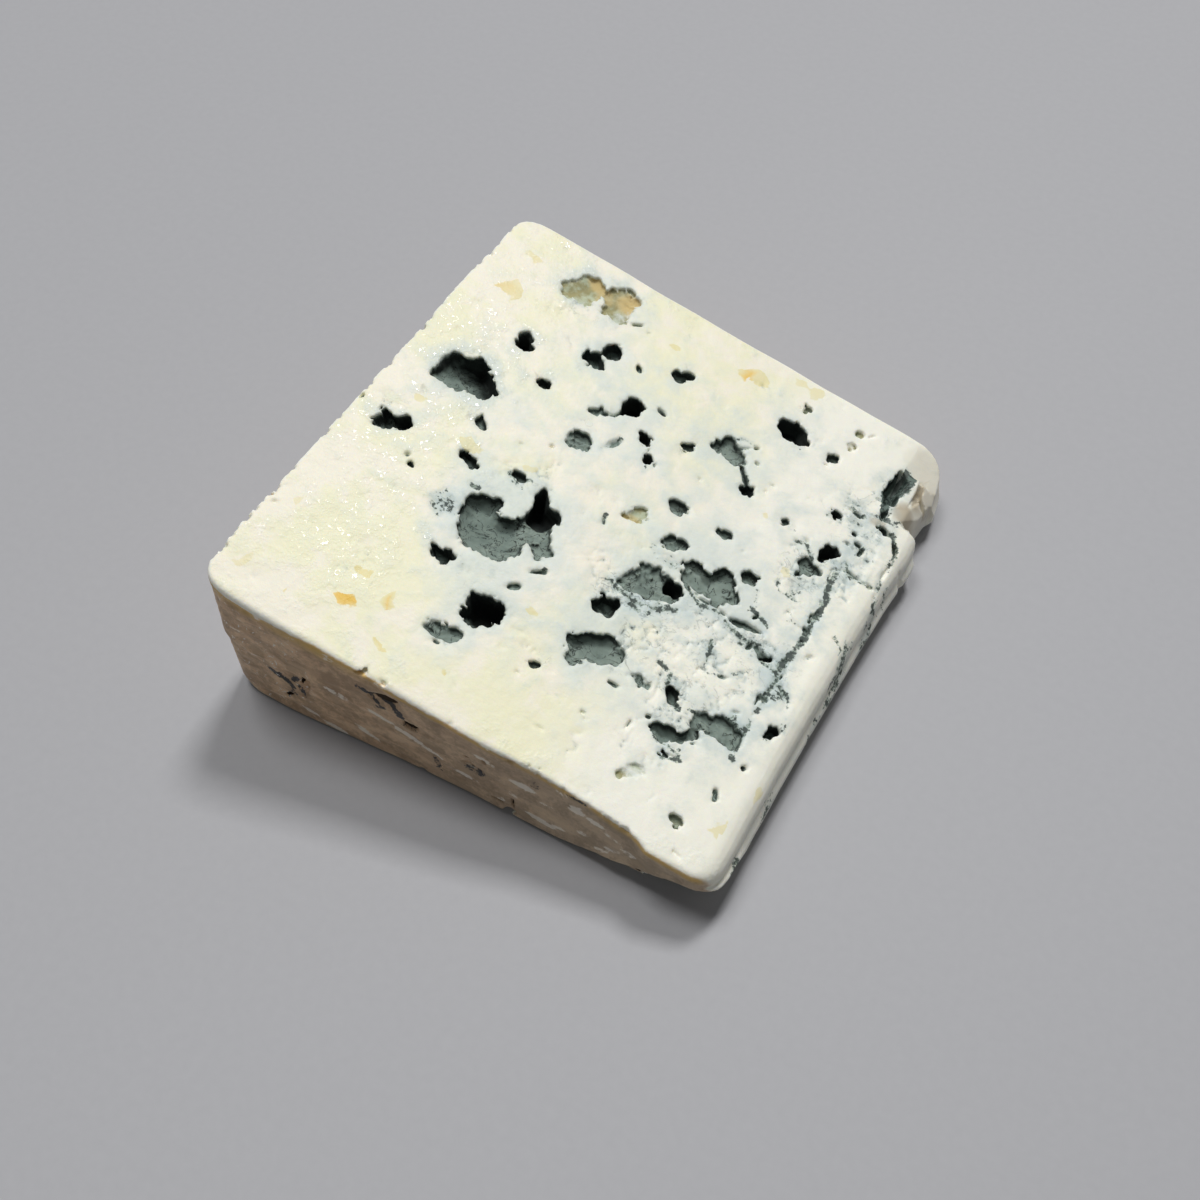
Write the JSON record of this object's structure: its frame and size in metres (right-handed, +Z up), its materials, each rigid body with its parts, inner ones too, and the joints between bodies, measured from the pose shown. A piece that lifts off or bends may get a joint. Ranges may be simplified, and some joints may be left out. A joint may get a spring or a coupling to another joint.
{
  "type": "blue cheese wedge",
  "caption": "Wedge of blue cheese lying on a cut side, with mould hollows over its sloping top, a brown rind on the flat side and a crumbled corner.",
  "frame": {"origin": "middle of the bottom of the box, on the cut face that the cheese lies on", "axes": "+X from the rim to the thin cut edge, +Y from the flat side with the brown rind to the other flat side, +Z up"},
  "size_m": [0.0874, 0.09, 0.029],
  "materials": {
    "cheese": "moist ivory paste with grey-green mould in the hollows, and a brown-grey rind on the flat side"
  },
  "bodies": {
    "root": {"cheese_wedge": "cheese"}
  },
  "joints": []
}
